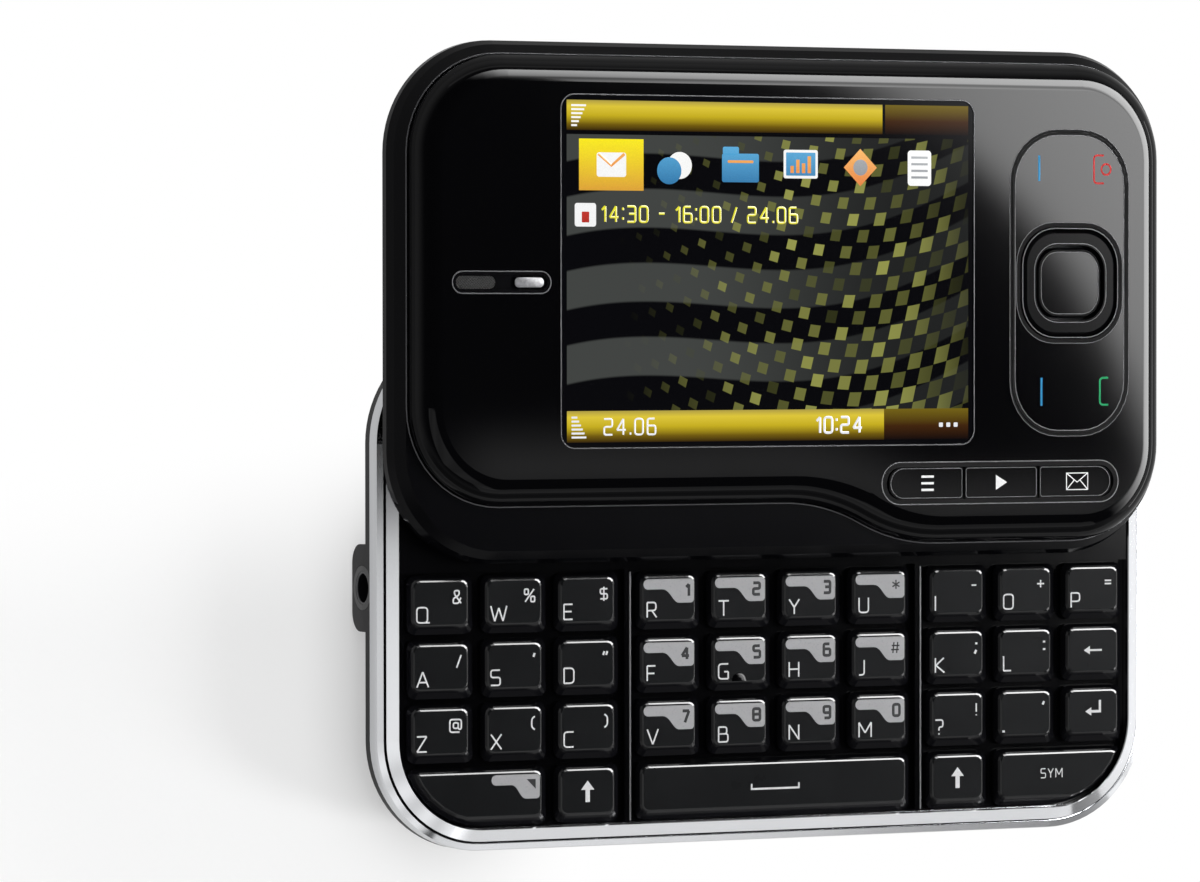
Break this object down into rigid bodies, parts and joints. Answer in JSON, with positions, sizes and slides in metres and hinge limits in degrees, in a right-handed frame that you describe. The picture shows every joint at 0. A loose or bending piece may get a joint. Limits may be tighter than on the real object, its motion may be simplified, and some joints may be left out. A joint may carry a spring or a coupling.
{
  "type": "slider phone",
  "caption": "Pocket phone whose display half slides sideways on rails over a full keyboard half, with navigation keys, headset socket and pull-off battery door.",
  "frame": {"origin": "centre of the keyboard half's flat back", "axes": "+X along the keyboard towards the right end, +Y the way the display half slides open, +Z out of the keys and the display"},
  "size_m": [0.0974, 0.0898, 0.0155],
  "materials": {
    "front_gloss": "piano black, high gloss",
    "bezel_satin": "fine satin texture",
    "dark_steel": "blackened steel sheet",
    "display_glass": "clear acrylic window over the lit display",
    "module_metal": "plain",
    "silicone": "matte",
    "ring_metal": "gloss black with bright edges",
    "frame_silver": "satin chrome on plastic",
    "deck_black": "semi-gloss",
    "shell_black": "soft-touch",
    "battery_wrap": "plain wrap",
    "board_green": "solder mask",
    "rail_steel": "polished runners",
    "side_key_black": "semi-gloss",
    "socket_black": "moulded",
    "camera_glass": "lens and ring",
    "key_black": "satin caps with printed legends"
  },
  "bodies": {
    "base": {"base_frame": "frame_silver", "key_deck": "deck_black", "rear_shell": "shell_black", "battery": "battery_wrap", "main_board": "board_green", "slide_rails": "rail_steel", "audio_jack": "socket_black", "camera_module": "camera_glass"},
    "slider": {"front_panel": "front_gloss", "slider_bezel": "bezel_satin", "slider_back_plate": "dark_steel", "display_window": "display_glass", "display_module": "module_metal", "earpiece_insert": "bezel_satin"},
    "battery_door": {"battery_door": "shell_black"},
    "softkey_plate": {"softkey_plate": "front_gloss"},
    "nav_pad": {"nav_pad": "silicone"},
    "nav_ring": {"nav_ring": "ring_metal"},
    "nav_center_key": {"nav_center_key": "front_gloss"},
    "shortcut_key_left": {"shortcut_key_left": "front_gloss"},
    "shortcut_key_middle": {"shortcut_key_middle": "front_gloss"},
    "shortcut_key_right": {"shortcut_key_right": "front_gloss"},
    "volume_rocker": {"volume_rocker": "side_key_black"},
    "camera_key": {"camera_key": "side_key_black"},
    "power_key": {"power_key": "side_key_black"},
    "key_q": {"key_q": "key_black"},
    "key_w": {"key_w": "key_black"},
    "key_e": {"key_e": "key_black"},
    "key_r": {"key_r": "key_black"},
    "key_t": {"key_t": "key_black"},
    "key_y": {"key_y": "key_black"},
    "key_u": {"key_u": "key_black"},
    "key_i": {"key_i": "key_black"},
    "key_o": {"key_o": "key_black"},
    "key_p": {"key_p": "key_black"},
    "key_a": {"key_a": "key_black"},
    "key_s": {"key_s": "key_black"},
    "key_d": {"key_d": "key_black"},
    "key_f": {"key_f": "key_black"},
    "key_g": {"key_g": "key_black"},
    "key_h": {"key_h": "key_black"},
    "key_j": {"key_j": "key_black"},
    "key_k": {"key_k": "key_black"},
    "key_l": {"key_l": "key_black"},
    "key_backspace": {"key_backspace": "key_black"},
    "key_z": {"key_z": "key_black"},
    "key_x": {"key_x": "key_black"},
    "key_c": {"key_c": "key_black"},
    "key_v": {"key_v": "key_black"},
    "key_b": {"key_b": "key_black"},
    "key_n": {"key_n": "key_black"},
    "key_m": {"key_m": "key_black"},
    "key_question": {"key_question": "key_black"},
    "key_period": {"key_period": "key_black"},
    "key_enter": {"key_enter": "key_black"},
    "key_function": {"key_function": "key_black"},
    "key_shift_left": {"key_shift_left": "key_black"},
    "key_space": {"key_space": "key_black"},
    "key_shift_right": {"key_shift_right": "key_black"},
    "key_symbols": {"key_symbols": "key_black"}
  },
  "joints": [
    {"name": "slide_open", "type": "slide", "parent": "base", "child": "slider", "axis": [0, 1, 0], "range_m": [-0.032, 0]},
    {"name": "battery_door_pull", "type": "slide", "parent": "base", "child": "battery_door", "axis": [0, 0, -1], "range_m": [0, 0.015]},
    {"name": "softkey_rock", "type": "hinge", "parent": "slider", "child": "softkey_plate", "pos_m": [0.0344, 0.03425, 0.0142], "axis": [1, 0, 0], "range_deg": [-1.2, 1.2], "stiffness_Nm_per_rad": 0.6},
    {"name": "nav_rock_up_down", "type": "hinge", "parent": "slider", "child": "nav_pad", "pos_m": [0.0344, 0.03425, 0.01275], "axis": [1, 0, 0], "range_deg": [-2, 2], "stiffness_Nm_per_rad": 0.1},
    {"name": "nav_rock_left_right", "type": "hinge", "parent": "nav_pad", "child": "nav_ring", "pos_m": [0.0344, 0.03425, 0.01335], "axis": [0, 1, 0], "range_deg": [-2, 2], "stiffness_Nm_per_rad": 0.1},
    {"name": "nav_center_press", "type": "slide", "parent": "slider", "child": "nav_center_key", "axis": [0, 0, -1], "range_m": [0, 0.00025], "stiffness_N_per_m": 1200},
    {"name": "shortcut_left_press", "type": "slide", "parent": "slider", "child": "shortcut_key_left", "axis": [0, 0, -1], "range_m": [0, 0.00025], "stiffness_N_per_m": 1200},
    {"name": "shortcut_middle_press", "type": "slide", "parent": "slider", "child": "shortcut_key_middle", "axis": [0, 0, -1], "range_m": [0, 0.00025], "stiffness_N_per_m": 1200},
    {"name": "shortcut_right_press", "type": "slide", "parent": "slider", "child": "shortcut_key_right", "axis": [0, 0, -1], "range_m": [0, 0.00025], "stiffness_N_per_m": 1200},
    {"name": "volume_rock", "type": "hinge", "parent": "base", "child": "volume_rocker", "pos_m": [-0.024, 0.02735, 0.0043], "axis": [0, 0, 1], "range_deg": [-1.8, 1.8], "stiffness_Nm_per_rad": 0.15},
    {"name": "camera_press", "type": "slide", "parent": "base", "child": "camera_key", "axis": [0, -1, 0], "range_m": [0, 0.0003], "stiffness_N_per_m": 1200},
    {"name": "power_press", "type": "slide", "parent": "base", "child": "power_key", "axis": [0, -1, 0], "range_m": [0, 0.0003], "stiffness_N_per_m": 1200},
    {"name": "key_q_press", "type": "slide", "parent": "base", "child": "key_q", "axis": [0, 0, -1], "range_m": [0, 0.00035], "stiffness_N_per_m": 1200},
    {"name": "key_w_press", "type": "slide", "parent": "base", "child": "key_w", "axis": [0, 0, -1], "range_m": [0, 0.00035], "stiffness_N_per_m": 1200},
    {"name": "key_e_press", "type": "slide", "parent": "base", "child": "key_e", "axis": [0, 0, -1], "range_m": [0, 0.00035], "stiffness_N_per_m": 1200},
    {"name": "key_r_press", "type": "slide", "parent": "base", "child": "key_r", "axis": [0, 0, -1], "range_m": [0, 0.00035], "stiffness_N_per_m": 1200},
    {"name": "key_t_press", "type": "slide", "parent": "base", "child": "key_t", "axis": [0, 0, -1], "range_m": [0, 0.00035], "stiffness_N_per_m": 1200},
    {"name": "key_y_press", "type": "slide", "parent": "base", "child": "key_y", "axis": [0, 0, -1], "range_m": [0, 0.00035], "stiffness_N_per_m": 1200},
    {"name": "key_u_press", "type": "slide", "parent": "base", "child": "key_u", "axis": [0, 0, -1], "range_m": [0, 0.00035], "stiffness_N_per_m": 1200},
    {"name": "key_i_press", "type": "slide", "parent": "base", "child": "key_i", "axis": [0, 0, -1], "range_m": [0, 0.00035], "stiffness_N_per_m": 1200},
    {"name": "key_o_press", "type": "slide", "parent": "base", "child": "key_o", "axis": [0, 0, -1], "range_m": [0, 0.00035], "stiffness_N_per_m": 1200},
    {"name": "key_p_press", "type": "slide", "parent": "base", "child": "key_p", "axis": [0, 0, -1], "range_m": [0, 0.00035], "stiffness_N_per_m": 1200},
    {"name": "key_a_press", "type": "slide", "parent": "base", "child": "key_a", "axis": [0, 0, -1], "range_m": [0, 0.00035], "stiffness_N_per_m": 1200},
    {"name": "key_s_press", "type": "slide", "parent": "base", "child": "key_s", "axis": [0, 0, -1], "range_m": [0, 0.00035], "stiffness_N_per_m": 1200},
    {"name": "key_d_press", "type": "slide", "parent": "base", "child": "key_d", "axis": [0, 0, -1], "range_m": [0, 0.00035], "stiffness_N_per_m": 1200},
    {"name": "key_f_press", "type": "slide", "parent": "base", "child": "key_f", "axis": [0, 0, -1], "range_m": [0, 0.00035], "stiffness_N_per_m": 1200},
    {"name": "key_g_press", "type": "slide", "parent": "base", "child": "key_g", "axis": [0, 0, -1], "range_m": [0, 0.00035], "stiffness_N_per_m": 1200},
    {"name": "key_h_press", "type": "slide", "parent": "base", "child": "key_h", "axis": [0, 0, -1], "range_m": [0, 0.00035], "stiffness_N_per_m": 1200},
    {"name": "key_j_press", "type": "slide", "parent": "base", "child": "key_j", "axis": [0, 0, -1], "range_m": [0, 0.00035], "stiffness_N_per_m": 1200},
    {"name": "key_k_press", "type": "slide", "parent": "base", "child": "key_k", "axis": [0, 0, -1], "range_m": [0, 0.00035], "stiffness_N_per_m": 1200},
    {"name": "key_l_press", "type": "slide", "parent": "base", "child": "key_l", "axis": [0, 0, -1], "range_m": [0, 0.00035], "stiffness_N_per_m": 1200},
    {"name": "key_backspace_press", "type": "slide", "parent": "base", "child": "key_backspace", "axis": [0, 0, -1], "range_m": [0, 0.00035], "stiffness_N_per_m": 1200},
    {"name": "key_z_press", "type": "slide", "parent": "base", "child": "key_z", "axis": [0, 0, -1], "range_m": [0, 0.00035], "stiffness_N_per_m": 1200},
    {"name": "key_x_press", "type": "slide", "parent": "base", "child": "key_x", "axis": [0, 0, -1], "range_m": [0, 0.00035], "stiffness_N_per_m": 1200},
    {"name": "key_c_press", "type": "slide", "parent": "base", "child": "key_c", "axis": [0, 0, -1], "range_m": [0, 0.00035], "stiffness_N_per_m": 1200},
    {"name": "key_v_press", "type": "slide", "parent": "base", "child": "key_v", "axis": [0, 0, -1], "range_m": [0, 0.00035], "stiffness_N_per_m": 1200},
    {"name": "key_b_press", "type": "slide", "parent": "base", "child": "key_b", "axis": [0, 0, -1], "range_m": [0, 0.00035], "stiffness_N_per_m": 1200},
    {"name": "key_n_press", "type": "slide", "parent": "base", "child": "key_n", "axis": [0, 0, -1], "range_m": [0, 0.00035], "stiffness_N_per_m": 1200},
    {"name": "key_m_press", "type": "slide", "parent": "base", "child": "key_m", "axis": [0, 0, -1], "range_m": [0, 0.00035], "stiffness_N_per_m": 1200},
    {"name": "key_question_press", "type": "slide", "parent": "base", "child": "key_question", "axis": [0, 0, -1], "range_m": [0, 0.00035], "stiffness_N_per_m": 1200},
    {"name": "key_period_press", "type": "slide", "parent": "base", "child": "key_period", "axis": [0, 0, -1], "range_m": [0, 0.00035], "stiffness_N_per_m": 1200},
    {"name": "key_enter_press", "type": "slide", "parent": "base", "child": "key_enter", "axis": [0, 0, -1], "range_m": [0, 0.00035], "stiffness_N_per_m": 1200},
    {"name": "key_function_press", "type": "slide", "parent": "base", "child": "key_function", "axis": [0, 0, -1], "range_m": [0, 0.00035], "stiffness_N_per_m": 1200},
    {"name": "key_shift_left_press", "type": "slide", "parent": "base", "child": "key_shift_left", "axis": [0, 0, -1], "range_m": [0, 0.00035], "stiffness_N_per_m": 1200},
    {"name": "key_space_press", "type": "slide", "parent": "base", "child": "key_space", "axis": [0, 0, -1], "range_m": [0, 0.00035], "stiffness_N_per_m": 1200},
    {"name": "key_shift_right_press", "type": "slide", "parent": "base", "child": "key_shift_right", "axis": [0, 0, -1], "range_m": [0, 0.00035], "stiffness_N_per_m": 1200},
    {"name": "key_symbols_press", "type": "slide", "parent": "base", "child": "key_symbols", "axis": [0, 0, -1], "range_m": [0, 0.00035], "stiffness_N_per_m": 1200}
  ]
}
